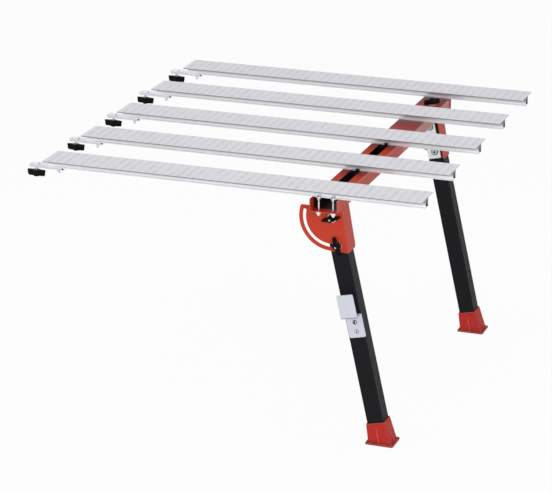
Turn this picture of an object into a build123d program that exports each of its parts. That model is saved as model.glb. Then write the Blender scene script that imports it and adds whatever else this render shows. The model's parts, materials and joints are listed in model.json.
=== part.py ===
from build123d import *
import math
import os

# Slatted side extension for a workbench: five aluminium slats on a two-part steel beam,
# held up at the far side by two folding legs. Millimetres, +Z up.
# While it is drawn, X runs along the slats from their bench end, Y = 0 is the middle
# between the legs and Z = 0 is the floor. The pieces are saved with the origin on the floor under
# the middle of the whole object.

# ---------------------------------------------------------------- overall sizes
TOP_Z = 809.5             # height of the slat tops above the floor
BAR_LEN = 1200.0          # length of a slat
BAR_COUNT = 5
FIRST_BAR_IN = 37.2       # middle of the front slat from the front end of the beam
LAST_BAR_IN = 8.0         # middle of the rear slat from the rear end
BEAM_X = 894.8            # middle of the beam from the bench end of the slats
BEAM_LEN = 1188.0         # overall length of the beam with its end cap
LEG_IN = (83.5, 97.5)     # middle of the front and rear leg from their ends of the beam
PIVOT_X = 903.0           # leg pivot
PIVOT_DROP = 32.5         # pivot below the underside of the beam
SPLAY = 12.6              # lean of the open legs, degrees

# ---------------------------------------------------------------- slat section
BAR_W = 115.0
BAR_H = 30.0
BAR_SKIN = 2.6            # thickness of the top plate
LIP_DEEP = 3.6            # edge bead under the top plate
LIP_WIDE = 2.4
BOX_W = 26.0              # hollow rib under the top plate
BOX_WALL = 2.2
FOOT_W = 35.0             # base flange of the slat
FOOT_T = 3.0
TSLOT_W = 10.0            # slot through the base flange

# ---------------------------------------------------------------- beam
BEAM_W = 87.0
BEAM_H = 40.0
BEAM_WALL = 2.5
BEAM_R = 2.5              # outside corner radius
RAIL_SLOT = 31.0          # open slot along the front section
SLOT_OFF = -1.8           # middle of the slot from the middle of the beam
JOIN_PAST = 38.4          # the sections meet this far past the middle slat
CAP_LEN = 24.0            # visible length of the end cap
CAP_PLUG = 24.0
SLEEVE_LEN = 240.0        # open sleeve that joins the two sections inside
SLEEVE_WALL = 2.5
SLIP = 0.05               # clearance of the sleeve and the plug, per side
MOUTH = 30.0              # the top wall is cut back this far at the front end
SIDE_HOLE_D = 11.0        # hole through the outer side wall
SIDE_HOLE_IN = 51.0       # from the front end
SIDE_HOLE_UP = 11.3      # above the underside

# ---------------------------------------------------------------- legs
TUBE = 52.5
TUBE_WALL = 2.0
TUBE_R = 3.0
TUBE_END = 0.6            # the rounded upper end stands this far out from half the tube
TUBE_FOOT_GAP = 14.0      # tube stops this far above the floor along its axis
HOLE_D = 7.0              # pair of holes low on the outer side
HOLE_UP = (203.0, 167.0)  # from the floor along the tube
HOLE_OFF = 8.0            # from the middle of the side, towards the rear on both legs
BACK_W = 43.0             # plated plate on the inner side of the leg
BACK_T = 3.0
BACK_OFF = -3.0           # from the middle of the tube
BACK_UP = 18.0            # its corner passes under the roof of the bracket as the leg folds
BACK_DOWN = 109.0
BACK_R = 3.0

# ---------------------------------------------------------------- quadrant bracket
SHEET = 3.0
QUAD_R = 102.5            # outer radius
SLOT_R = 86.0             # radius of the lock slot
LOCK_D = 10.0             # pivot and lock bolts
FIT = 0.05                # bolt clearance, per side
SLOT_FIT = 0.1            # lock bolt in its slot, per side
SLOT_OVER = 10.6          # slot runs on this far above the level position, degrees
SLOT_PAST = 0.3           # and this far past the open one
QUAD_CORNER = 4.0
ROOF_IN = 5.0             # roof from the inner edge of the beam
QUAD_LOW = 104.0          # bottom edge below the pivot
FOLD_TOP = (30.5, 26.0)   # outside of the fold from the pivot, along X and up
FOLD_LOW = (53.6, -104.0)
FOLD_LEAN = 1.5           # the fold leans in by this much between FOLD_TOP and the beam
FLANGE_PAST = 12.0        # flange beyond the inner side of the tube
FLANGE_R = 10.0
PLATE_GAP = 0.2           # quadrant to leg

# ---------------------------------------------------------------- knobs and bolts
KNOB_L = 60.0
KNOB_H = 20.0
KNOB_HUB = (10.5, 8.5)    # radius of the hub at its seat and its top
KNOB_ROOT = 7.0           # half thickness of the wings at the hub and at their tips
KNOB_TIP = 2.6
KNOB_WING = 15.5          # height of the wings
KNOB_NARROW = 2.5         # wings draw in this much at the outer face, per end
KNOB_R = 2.5              # rounding of the wing ends
KNOB_CROWN = 4.0          # closed top of the beam knob, and its rounding
KNOB_DOME = 2.5
WASHER = 27.0
WASHER_T = 2.0
HEAD_R = 10.0
HEAD_H = 5.0
HEAD_CUT = 0.5            # part of the height of a head that is chamfered
BOLT_OUT = 1.6            # bolt end proud of its knob
PIVOT_KNOB_TURN = -11.0     # wing angles about the bolts, degrees
LOCK_KNOB_TURN = 84.0
BEAM_KNOB_IN = 9.5        # beam knob from the middle of the rear leg
BEAM_KNOB_TURN = 46.0
FLAT_HEAD = 2.0           # low head of the beam knob's bolt, clear of the folded leg

# ---------------------------------------------------------------- hook on the front leg
HOOK_W = 52.0
HOOK_OFF = 3.0            # from the middle of the tube
HOOK_T = 3.0
HOOK_SHELF = 302.0        # shelf below the pivot along the leg
HOOK_DOWN = 75.0
HOOK_UP = 72.0
HOOK_DEEP = 41.0
HOOK_BEND = 5.0
HOOK_SCREWS = (27.0, 56.0)
SCREW_D = 6.0
SCREW_HEAD = 6.5
SCREW_H = 4.0

# ---------------------------------------------------------------- feet
SHOE = 89.0               # base plate along X
SHOE_Y = 79.0
SHOE_T = 5.0
SHOE_R = 7.0
BOOT_WALL = 3.5           # boot round the tube at its top
BOOT_H = 70.0             # along the leg
BOOT_LOW = (72.0, 65.0)
RIB_T = 4.0
RIB_TOP = 6.0             # ribs end this far below the top of the boot
RIB_IN = 3.0              # and this far in from the edge of the base plate
RIB_SET = 2.0             # rib ends set into the boot
SHOE_EDGE = 1.2           # chamfer along the top of the base plate

# ---------------------------------------------------------------- bench clamps
ARM_OUT = 68.0            # arm beyond the end of the slat
ARM_IN = 50.0
ARM_SET = (0.0, 4.0, 9.0, 3.0, 0.0)      # each arm is pushed in by hand, front to rear
ARM_W = 30.0
ARM_T = 7.0
ARM_R = 10.8              # outer corners
CLAMP_X = 48.0            # clamp bolt beyond the end of the slat
CLAMP_D = 8.0
CLAMP_DROP = 11.5         # knob hangs this far below the arm
THEAD = (20.0, 14.0, 5.0)
ARM_SCREW_X = 28.0        # bolt that holds the arm in the slat
ARM_SCREW_D = 6.0
ARM_NUT_R = 8.0
ARM_NUT_TIP = 3.5
ARM_NUT_H = 15.0

# ---------------------------------------------------------------- slat fixings
PIN_X = (875.4, 920.0)    # through bolts of the outer slats
PIN_D = 6.0
PIN_GAP = 0.5             # bolt to the edge of the base flange
PIN_HEAD_R = 7.0
PIN_HEAD_H = 3.0
PIN_CONE_R = 8.0          # coned collar under the flange of the front slat
PIN_CONE_H = 12.0
PIN_NUT_R = 9.5
PIN_NUT_H = 5.0           # straight part of the coned nut
PIN_NUT_TIP = 11.0        # coned part
STUD_X = 901.0            # clamping bolts in the open slot
STUD_D = 6.0
SLIDE_NUT = (38.0, 16.0, 6.0)
NUT_GAP = 0.1             # sliding nut below the lips of the rail
TBOLT_D = 8.0
TBOLT_HEAD = (16.0, 16.0, 5.0)
TBOLT_NUT = (8.0, 6.0)    # corner radius and height
CAP_BOLT = 22.0           # bolts of the rear slat from the middle of the beam
CAP_NUT = (5.2, 4.0)
NUT_OVER = 2.0            # bolt end past its nut

# ---------------------------------------------------------------- derived sizes
BEAM_TOP = TOP_Z - BAR_H
BEAM_LOW = BEAM_TOP - BEAM_H
BEAM_MID = BEAM_TOP - BEAM_H / 2
PIVOT_Z = BEAM_LOW - PIVOT_DROP
TUBE_Y = (BEAM_LEN - LEG_IN[0] - LEG_IN[1]) / 2
BEAM_FRONT = -TUBE_Y - LEG_IN[0]
BEAM_REAR = TUBE_Y + LEG_IN[1]
TUBE_END_R = TUBE / 2 + TUBE_END
BOOT = TUBE + 2 * BOOT_WALL
FLANGE_DEEP = SHEET + PLATE_GAP + TUBE + FLANGE_PAST
BEAM_KNOB_Y = TUBE_Y - BEAM_KNOB_IN
LEG_LEN = PIVOT_Z / math.cos(math.radians(SPLAY))
FOOT_X = PIVOT_X + PIVOT_Z * math.tan(math.radians(SPLAY))
FACE_Y = TUBE_Y + TUBE / 2
PLATE_IN = FACE_Y + PLATE_GAP
PLATE_OUT = PLATE_IN + SHEET
BAR_PITCH = (BEAM_LEN - FIRST_BAR_IN - LAST_BAR_IN) / (BAR_COUNT - 1)
BAR_Y = [BEAM_FRONT + FIRST_BAR_IN + i * BAR_PITCH for i in range(BAR_COUNT)]
JOIN_Y = BAR_Y[2] + JOIN_PAST
INNER_W = BEAM_W - 2 * BEAM_WALL - 2 * SLIP
INNER_H = BEAM_H - 2 * BEAM_WALL - 2 * SLIP
INNER_R = max(BEAM_R - BEAM_WALL, 0.6)
CAP_ROOM = INNER_H - 2 * BEAM_WALL
ARM_LOW = BEAM_TOP - ARM_T
PIN_OFF = FOOT_W / 2 + PIN_GAP + PIN_D / 2
STUD_OFF = FOOT_W / 2 + PIN_GAP + STUD_D / 2
MID_X = (BAR_LEN + min(ARM_SET) - CLAMP_X - KNOB_L / 2) / 2
MID_Y = (BAR_Y[0] + BAR_Y[-1]) / 2

LEG = Pos(PIVOT_X, 0, PIVOT_Z) * Rot(0, -SPLAY, 0)

os.makedirs("parts", exist_ok=True)


def save(name, shape):
    export_step(Pos(-MID_X, -MID_Y, 0) * shape, "parts/" + name + ".step")


def along_y(sketch, y0, y1):
    """Extrude an XZ sketch (drawn as x, z) from y0 to y1."""
    solid = extrude(Plane.XZ * sketch, amount=-(y1 - y0))
    return Pos(0, y0, 0) * solid


def rod_y(x, z, r, y0, y1):
    return along_y(Pos(x, z) * Circle(r), y0, y1)


def rod_z(x, y, r, z0, z1):
    return Pos(x, y, z0) * extrude(Circle(r), amount=z1 - z0)


def loop(*points):
    return make_face(Polyline(*points, close=True))


# ---------------------------------------------------------------- slats
def slat_section():
    w, box, base, slot = BAR_W / 2, BOX_W / 2, FOOT_W / 2, TSLOT_W / 2
    half = [
        (0, BAR_H), (w, BAR_H), (w, BAR_H - LIP_DEEP), (w - LIP_WIDE, BAR_H - LIP_DEEP),
        (w - LIP_WIDE, BAR_H - BAR_SKIN), (box, BAR_H - BAR_SKIN), (box, FOOT_T),
        (base, FOOT_T), (base, 0), (slot, 0), (slot, FOOT_T), (box - BOX_WALL, FOOT_T),
        (box - BOX_WALL, BAR_H - BAR_SKIN), (0, BAR_H - BAR_SKIN),
    ]
    mirrored = [(-y, z) for y, z in reversed(half[1:-1])]
    return loop(*(half + mirrored))


def slat(y):
    return Pos(0, y, BEAM_TOP) * extrude(Plane.YZ * slat_section(), amount=BAR_LEN)


# ---------------------------------------------------------------- beam
def box_ring(width, height, wall, radius):
    outer = RectangleRounded(width, height, radius)
    inner = RectangleRounded(width - 2 * wall, height - 2 * wall, max(radius - wall, INNER_R))
    return outer - inner


def on_beam(sketch):
    """An XZ sketch moved to the middle line of the beam."""
    return Pos(BEAM_X, BEAM_MID) * sketch


def beam_front():
    ring = box_ring(BEAM_W, BEAM_H, BEAM_WALL, BEAM_R)
    ring -= Pos(SLOT_OFF, BEAM_H / 2) * Rectangle(RAIL_SLOT, 4 * BEAM_WALL)
    rail = along_y(on_beam(ring), BEAM_FRONT, JOIN_Y)
    mouth = Box(BEAM_W - 2 * BEAM_WALL, 2 * MOUTH, 4 * BEAM_WALL)
    rail -= Pos(BEAM_X, BEAM_FRONT, BEAM_TOP) * mouth
    for x in PIN_X:
        rail -= rod_z(x, BAR_Y[0] - PIN_OFF, PIN_D / 2 + FIT, BEAM_LOW - 1, BEAM_MID)
    hole = Rot(0, 90, 0) * Cylinder(SIDE_HOLE_D / 2, 4 * BEAM_WALL)
    rail -= Pos(BEAM_X + BEAM_W / 2, BEAM_FRONT + SIDE_HOLE_IN, BEAM_LOW + SIDE_HOLE_UP) * hole
    return rail


def beam_sleeve():
    """U-shaped sleeve, open at the top so that nuts can pass along the slot."""
    ring = box_ring(INNER_W, INNER_H, SLEEVE_WALL, INNER_R)
    drop = SLIDE_NUT[2] + 2 * NUT_GAP
    ring -= Pos(0, INNER_H / 2) * Rectangle(2 * INNER_W, 2 * drop)
    return along_y(on_beam(ring), JOIN_Y - SLEEVE_LEN / 2, JOIN_Y + SLEEVE_LEN / 2)


def beam_rear():
    ring = box_ring(BEAM_W, BEAM_H, BEAM_WALL, BEAM_R)
    tube = along_y(on_beam(ring), JOIN_Y, BEAM_REAR - CAP_LEN)
    tube -= rod_z(BEAM_X, BAR_Y[-2], TBOLT_D / 2 + FIT, BEAM_MID, BEAM_TOP + 1)
    tube -= rod_z(PIVOT_X, BEAM_KNOB_Y, LOCK_D / 2 + FIT, BEAM_LOW - 1, BEAM_TOP + 1)
    return tube


def end_cap():
    shoulder = BEAM_REAR - CAP_LEN
    cap = along_y(on_beam(RectangleRounded(BEAM_W, BEAM_H, BEAM_R)), shoulder, BEAM_REAR)
    plug = on_beam(RectangleRounded(INNER_W, INNER_H, INNER_R))
    cap += along_y(plug, shoulder - CAP_PLUG, shoulder)
    room = on_beam(RectangleRounded(INNER_W - 2 * BEAM_WALL, CAP_ROOM, BEAM_R))
    cap -= along_y(room, shoulder - CAP_PLUG, BEAM_REAR - BEAM_WALL)
    for side in (-1, 1):
        x = BEAM_X + side * CAP_BOLT
        cap -= rod_z(x, BAR_Y[-1], PIN_D / 2 + FIT, BEAM_MID, BEAM_TOP + 1)
    return cap


# ---------------------------------------------------------------- slat fixings
def coned_head(x, y, radius, height, seat):
    head = rod_z(x, y, radius, seat, seat + height)
    return chamfer(head.faces().sort_by(Axis.Z)[-1].edges(), height * HEAD_CUT)


def cone_z(x, y, low_r, high_r, z0, z1):
    return Pos(x, y, (z0 + z1) / 2) * Cone(low_r, high_r, z1 - z0)


def slat_pin(x, bar_y):
    """Bolt beside the front slat: its head and a coned collar hold the base flange."""
    y = bar_y - PIN_OFF
    seat = BEAM_TOP + FOOT_T
    shoulder = BEAM_LOW - PIN_NUT_H
    tip = shoulder - PIN_NUT_TIP
    pin = coned_head(x, y, PIN_HEAD_R, PIN_HEAD_H, seat) + rod_z(x, y, PIN_D / 2, tip, seat)
    pin += cone_z(x, y, PIN_D / 2, PIN_CONE_R, BEAM_TOP - PIN_CONE_H, BEAM_TOP)
    pin += rod_z(x, y, PIN_NUT_R, shoulder, BEAM_LOW)
    return pin + cone_z(x, y, PIN_D / 2, PIN_NUT_R, tip, shoulder)


def rail_stud(bar_y, side):
    """Clamping bolt beside the slat with a long nut under the lips of the rail."""
    y = bar_y + side * STUD_OFF
    seat = BEAM_TOP + FOOT_T
    lips = BEAM_TOP - BEAM_WALL - NUT_GAP
    long, wide, tall = SLIDE_NUT
    head = coned_head(STUD_X, y, PIN_HEAD_R, PIN_HEAD_H, seat)
    nut = Pos(BEAM_X + SLOT_OFF, y, lips - tall / 2) * Box(long, wide, tall)
    return head + rod_z(STUD_X, y, STUD_D / 2, lips - tall / 2, seat) + nut


def tee_bolt(x, y, shank, head_size, low):
    """Bolt held by its head inside the hollow rib of a slat."""
    wide, deep, tall = head_size
    head = Pos(x, y, BEAM_TOP + FOOT_T + tall / 2) * Box(wide, deep, tall)
    return head + rod_z(x, y, shank / 2, low, BEAM_TOP + FOOT_T)


def slat_bolt(x, y, shank, nut_size, under):
    """T-headed bolt of a slat with a nut under the wall that it goes through."""
    radius, tall = nut_size
    bolt = tee_bolt(x, y, shank, TBOLT_HEAD, under - tall - NUT_OVER)
    return bolt + Pos(x, y, under - tall) * extrude(RegularPolygon(radius, 6), amount=tall)


# ---------------------------------------------------------------- knobs
def knob(bore, deep=KNOB_H + 1.0):
    """Wing knob standing on z = 0, wings along X; the bore is this deep from the seat."""
    half = KNOB_L / 2
    root = Circle(KNOB_ROOT).edges()
    tips = [(Pos(k * (half - KNOB_TIP), 0) * Circle(KNOB_TIP)).edges()[0] for k in (-1, 1)]
    wings = extrude(make_hull(root + tips), amount=KNOB_WING, dir=(0, 0, 1))
    side = loop(
        (-half, 0), (half, 0), (half - KNOB_NARROW, KNOB_WING), (KNOB_NARROW - half, KNOB_WING),
    )
    side = fillet(side.vertices().sort_by(Axis.Y)[-2:], KNOB_R)
    wings &= extrude(Plane.XZ * side, amount=half, both=True)
    hub = Pos(0, 0, KNOB_H / 2) * Cone(KNOB_HUB[0], KNOB_HUB[1], KNOB_H)
    if deep < KNOB_H:
        hub = fillet(hub.faces().sort_by(Axis.Z)[-1].edges(), KNOB_DOME)
    bore_cut = extrude(Circle(bore / 2 + FIT), amount=deep + 1, dir=(0, 0, 1))
    return wings + hub - Pos(0, 0, -1) * bore_cut


def washer(bore):
    return extrude(Circle(WASHER / 2) - Circle(bore / 2 + FIT), amount=WASHER_T, dir=(0, 0, 1))


def out_y(y):
    """Turns a part that stands on z = 0 so that it points towards -Y from y."""
    return Pos(0, y, 0) * Rot(90, 0, 0)


def beam_bolt():
    """Flat-headed bolt up through the rear bracket and the beam, into the closed knob."""
    tip = BEAM_TOP + WASHER_T + KNOB_H - KNOB_CROWN - BOLT_OUT
    seat = BEAM_LOW - SHEET
    bolt = rod_z(PIVOT_X, BEAM_KNOB_Y, LOCK_D / 2, seat, tip)
    return bolt + rod_z(PIVOT_X, BEAM_KNOB_Y, HEAD_R, seat - FLAT_HEAD, seat)


# ---------------------------------------------------------------- legs (front one at -Y)
def leg_tube(hole_off):
    profile = box_ring(TUBE, TUBE, TUBE_WALL, TUBE_R)
    low = -(LEG_LEN - TUBE_FOOT_GAP)
    tube = Pos(0, -TUBE_Y, low) * extrude(profile, amount=TUBE_END_R - low)
    trim = Pos(0, -TUBE_Y, TUBE_END_R / 2) * Box(2 * TUBE, 2 * TUBE, TUBE_END_R)
    trim -= rod_y(0, 0, TUBE_END_R, -TUBE_Y - TUBE, -TUBE_Y + TUBE)
    tube -= trim
    for z in (0, -SLOT_R):
        tube -= rod_y(0, z, LOCK_D / 2 + FIT, -FACE_Y - 1, -FACE_Y + TUBE + 1)
    hole = Rot(0, 90, 0) * Cylinder(HOLE_D / 2, 2 * TUBE_WALL + 2)
    for up in HOLE_UP:
        tube -= Pos(TUBE / 2, hole_off - TUBE_Y, up - LEG_LEN) * hole
    return tube


def front_tube():
    tube = leg_tube(HOLE_OFF)
    for drop in HOOK_SCREWS:
        z = -(HOOK_SHELF + drop)
        tube -= rod_y(HOOK_OFF, z, SCREW_D / 2 + FIT, -FACE_Y - 1, -FACE_Y + TUBE_WALL + 1)
    return tube


def back_plate():
    size = BACK_UP + BACK_DOWN
    near = -FACE_Y + TUBE
    sketch = RectangleRounded(BACK_W, size, BACK_R)
    plate = along_y(Pos(BACK_OFF, (BACK_UP - BACK_DOWN) / 2) * sketch, near, near + BACK_T)
    for z in (0, -SLOT_R):
        plate -= rod_y(0, z, LOCK_D / 2 + FIT, near - 1, near + BACK_T + 1)
    return plate


def leg_bolt(z):
    seat = -FACE_Y + TUBE + BACK_T
    tip = -(PLATE_OUT + WASHER_T + KNOB_H + BOLT_OUT)
    bolt = rod_y(0, z, LOCK_D / 2, tip, seat)
    head = rod_y(0, z, HEAD_R, seat, seat + HEAD_H)
    return bolt + chamfer(head.faces().sort_by(Axis.Y)[-1].edges(), HEAD_H * HEAD_CUT)


def leg_knob(z, turn):
    return Pos(0, 0, z) * out_y(-(PLATE_OUT + WASHER_T)) * Rot(0, 0, turn) * knob(LOCK_D)


def leg_washer(z):
    return Pos(0, 0, z) * out_y(-PLATE_OUT) * washer(LOCK_D)


def foot():
    """Moulded boot over the end of the leg, in the frame of the object."""
    base = Pos(FOOT_X, -TUBE_Y) * extrude(RectangleRounded(SHOE, SHOE_Y, SHOE_R), amount=SHOE_T)
    base = chamfer(base.faces().sort_by(Axis.Z)[-1].edges(), SHOE_EDGE)
    low = Pos(FOOT_X, -TUBE_Y, SHOE_T) * RectangleRounded(BOOT_LOW[0], BOOT_LOW[1], TUBE_R)
    top_place = LEG * Pos(0, -TUBE_Y, BOOT_H - LEG_LEN)
    body = base + loft([low, top_place * RectangleRounded(BOOT, BOOT, TUBE_R)])
    lean = math.radians(SPLAY)
    for side in (-1, 1):
        top = (BOOT_H - RIB_TOP) * math.cos(lean) + side * BOOT / 2 * math.sin(lean)
        wall = side * (BOOT / 2 - RIB_SET) - top * math.tan(lean)
        rib = loop((0, SHOE_EDGE), (side * (SHOE / 2 - RIB_IN), SHOE_EDGE), (wall, top), (0, top))
        body += along_y(Pos(FOOT_X, 0) * rib, -TUBE_Y - RIB_T / 2, -TUBE_Y + RIB_T / 2)
        foot_y, wall_y = side * (SHOE_Y / 2 - RIB_IN), side * (BOOT / 2 - RIB_SET)
        fin = loop((0, 0), (foot_y, SHOE_EDGE), (wall_y, BOOT_H - RIB_TOP), (0, BOOT_H - RIB_TOP))
        fin = extrude(Plane.YZ * fin, amount=RIB_T / 2, both=True)
        body += LEG * Pos(0, -TUBE_Y, -LEG_LEN) * fin
    body -= Pos(FOOT_X, -TUBE_Y, -SHOE) * Box(3 * SHOE, 3 * SHOE, 2 * SHOE)
    pocket = extrude(RectangleRounded(TUBE + 2 * FIT, TUBE + 2 * FIT, TUBE_R), amount=2 * BOOT_H)
    return body - LEG * Pos(0, -TUBE_Y, TUBE_FOOT_GAP - LEG_LEN) * pocket


# ---------------------------------------------------------------- quadrant bracket
def quadrant():
    """Folded bracket in the frame of the pivot: x along X, y up."""
    quarter = Rectangle(QUAD_R, 2 * QUAD_R, align=(Align.MAX, Align.MAX))
    disc = Circle(QUAD_R) & Pos(0, PIVOT_DROP) * quarter
    left = BEAM_X - BEAM_W / 2 - PIVOT_X + ROOF_IN
    right = FOLD_TOP[0] - FOLD_LEAN
    face = disc + loop(
        (left, PIVOT_DROP), (right, PIVOT_DROP), FOLD_TOP, FOLD_LOW, (0, -QUAD_LOW), (0, 0), (left, 0),
    )
    face = fillet(face.vertices().sort_by_distance((-QUAD_R, PIVOT_DROP, 0))[0], QUAD_CORNER)
    level = 180 - SLOT_OVER
    arc = CenterArc((0, 0), SLOT_R, level, 270 + SPLAY + SLOT_PAST - level)
    face -= SlotArc(arc, LOCK_D + 2 * SLOT_FIT)
    face -= Circle(LOCK_D / 2 + FIT)
    place = Pos(PIVOT_X, PIVOT_Z)
    bracket = along_y(place * face, -PLATE_OUT, -PLATE_IN)
    side = loop(
        FOLD_TOP, FOLD_LOW, (FOLD_LOW[0] - SHEET, FOLD_LOW[1]), (FOLD_TOP[0] - SHEET, FOLD_TOP[1]),
        (right - SHEET, PIVOT_DROP), (right, PIVOT_DROP),
    )
    flange = along_y(place * side, -PLATE_OUT, FLANGE_DEEP - PLATE_OUT)
    low_edge = flange.edges().filter_by(Axis.X).sort_by(Axis.Z)[0:2].sort_by(Axis.Y)[-1]
    flange = fillet(low_edge, FLANGE_R)
    roof = Pos((left + right) / 2, PIVOT_DROP - SHEET / 2) * Rectangle(right - left, SHEET)
    bracket += flange + along_y(place * roof, -PLATE_OUT, FLANGE_DEEP - PLATE_OUT)
    middle = PIVOT_X + (FOLD_TOP[0] + FOLD_LOW[0]) / 2
    fold = [
        edge for edge in bracket.edges()
        if abs(edge.center().Y + PLATE_OUT) < 0.1
        and abs(edge.center().X - middle) < 1.0
        and edge.length > 0.8 * (FOLD_TOP[1] - FOLD_LOW[1])
    ]
    return fillet(fold, SHEET)


# ---------------------------------------------------------------- hook
def hook():
    """Bent strip in the frame of the leg."""
    y0 = -FACE_Y
    y1 = y0 - HOOK_DEEP
    shelf = -HOOK_SHELF
    section = loop(
        (y0, shelf - HOOK_DOWN), (y0, shelf), (y1 + HOOK_T, shelf), (y1 + HOOK_T, shelf + HOOK_UP),
        (y1, shelf + HOOK_UP), (y1, shelf - HOOK_T), (y0 - HOOK_T, shelf - HOOK_T),
        (y0 - HOOK_T, shelf - HOOK_DOWN),
    )
    bends = {(y0, shelf): HOOK_BEND, (y1, shelf - HOOK_T): HOOK_BEND}
    bends[(y1 + HOOK_T, shelf)] = HOOK_BEND - HOOK_T
    bends[(y0 - HOOK_T, shelf - HOOK_T)] = HOOK_BEND - HOOK_T
    for (y, z), radius in bends.items():
        spot = section.vertices().sort_by_distance((y, z, 0))[0]
        section = fillet(spot, radius)
    strip = Pos(HOOK_OFF, 0, 0) * extrude(Plane.YZ * section, amount=HOOK_W / 2, both=True)
    ends = strip.edges().filter_by(Axis.Y).sort_by(Axis.Z)
    strip = fillet(list(ends[:2]) + list(ends[-2:]), HOOK_BEND)
    for drop in HOOK_SCREWS:
        strip -= rod_y(HOOK_OFF, shelf - drop, SCREW_D / 2 + FIT, y0 - HOOK_T - 1, y0 + 1)
    return strip


def hook_screw(drop):
    z = -(HOOK_SHELF + drop)
    seat = -FACE_Y - HOOK_T
    head = rod_y(HOOK_OFF, z, SCREW_HEAD, seat - SCREW_H, seat)
    head = chamfer(head.faces().sort_by(Axis.Y)[0].edges(), SCREW_H * HEAD_CUT)
    return head + rod_y(HOOK_OFF, z, SCREW_D / 2, seat, -FACE_Y + 2 * TUBE_WALL)


# ---------------------------------------------------------------- bench clamps
# Drawn for a slat along Y = 0 with the arm not pushed in.
def clamp_arm():
    strip = Pos((ARM_IN - ARM_OUT) / 2, 0) * Rectangle(ARM_OUT + ARM_IN, ARM_W)
    strip = fillet(strip.vertices().sort_by(Axis.X)[:2], ARM_R)
    strip -= Pos(-CLAMP_X, 0) * Circle(CLAMP_D / 2 + FIT)
    strip -= Pos(ARM_SCREW_X, 0) * Circle(ARM_SCREW_D / 2 + FIT)
    return Pos(0, 0, ARM_LOW) * extrude(strip, amount=ARM_T)


def clamp_bolt():
    wide, deep, tall = THEAD
    head = Pos(-CLAMP_X, 0, BEAM_TOP + tall / 2) * Box(wide, deep, tall)
    return head + rod_z(-CLAMP_X, 0, CLAMP_D / 2, ARM_LOW - CLAMP_DROP - KNOB_H - BOLT_OUT, BEAM_TOP)


def clamp_knob():
    return Pos(-CLAMP_X, 0, ARM_LOW - CLAMP_DROP) * Rot(180, 0, 0) * knob(CLAMP_D)


def arm_screw():
    bolt = tee_bolt(ARM_SCREW_X, 0, ARM_SCREW_D, TBOLT_HEAD, ARM_LOW - ARM_NUT_H)
    return bolt + cone_z(ARM_SCREW_X, 0, ARM_NUT_TIP, ARM_NUT_R, ARM_LOW - ARM_NUT_H, ARM_LOW)


# ---------------------------------------------------------------- build
for i, (y, push) in enumerate(zip(BAR_Y, ARM_SET), start=1):
    save("bar_%d" % i, slat(y))
    save("clamp_arm_%d" % i, Pos(push, y, 0) * clamp_arm())
    save("clamp_bolt_%d" % i, Pos(push, y, 0) * clamp_bolt())
    save("clamp_knob_%d" % i, Pos(push, y, 0) * clamp_knob())
    save("clamp_screw_%d" % i, Pos(push, y, 0) * arm_screw())

save("beam_front", beam_front())
save("beam_sleeve", beam_sleeve())
save("beam_rear", beam_rear())
save("beam_end_cap", end_cap())
save("bar_1_pins", Compound(children=[slat_pin(x, BAR_Y[0]) for x in PIN_X]))
for i in (2, 3):
    save("bar_%d_studs" % i, Compound(children=[rail_stud(BAR_Y[i - 1], k) for k in (-1, 1)]))
save("bar_4_bolt", slat_bolt(BEAM_X, BAR_Y[3], TBOLT_D, TBOLT_NUT, BEAM_TOP - BEAM_WALL))
cap_under = BEAM_MID + CAP_ROOM / 2
cap_bolts = [slat_bolt(BEAM_X + k * CAP_BOLT, BAR_Y[4], PIN_D, CAP_NUT, cap_under) for k in (-1, 1)]
save("bar_5_pins", Compound(children=cap_bolts))

beam_seat = Pos(PIVOT_X, BEAM_KNOB_Y, BEAM_TOP)
beam_knob = Rot(0, 0, BEAM_KNOB_TURN) * knob(LOCK_D, KNOB_H - KNOB_CROWN)
save("beam_knob", beam_seat * Pos(0, 0, WASHER_T) * beam_knob)
save("beam_knob_washer", beam_seat * washer(LOCK_D))
save("beam_knob_bolt", beam_bolt())

front = {
    "leg_back_plate": LEG * back_plate(),
    "leg_foot": foot(),
    "leg_pivot_bolt": LEG * leg_bolt(0),
    "leg_lock_bolt": LEG * leg_bolt(-SLOT_R),
    "leg_pivot_knob": LEG * leg_knob(0, PIVOT_KNOB_TURN + SPLAY),
    "leg_lock_knob": LEG * leg_knob(-SLOT_R, LOCK_KNOB_TURN + SPLAY),
    "leg_washers": Compound(children=[LEG * leg_washer(0), LEG * leg_washer(-SLOT_R)]),
}
for name, shape in front.items():
    save("front_" + name, shape)
    save("rear_" + name, mirror(shape, about=Plane.XZ))

bolt_hole = rod_z(PIVOT_X, BEAM_KNOB_Y, LOCK_D / 2 + FIT, PIVOT_Z, BEAM_LOW + 1)
save("front_leg_bracket", quadrant())
save("rear_leg_bracket", mirror(quadrant(), about=Plane.XZ) - bolt_hole)
save("front_leg_tube", LEG * front_tube())
save("rear_leg_tube", mirror(LEG * leg_tube(-HOLE_OFF), about=Plane.XZ))
save("leg_hook", LEG * hook())
save("leg_hook_screws", Compound(children=[LEG * hook_screw(d) for d in HOOK_SCREWS]))
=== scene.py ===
import json
import math

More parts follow.
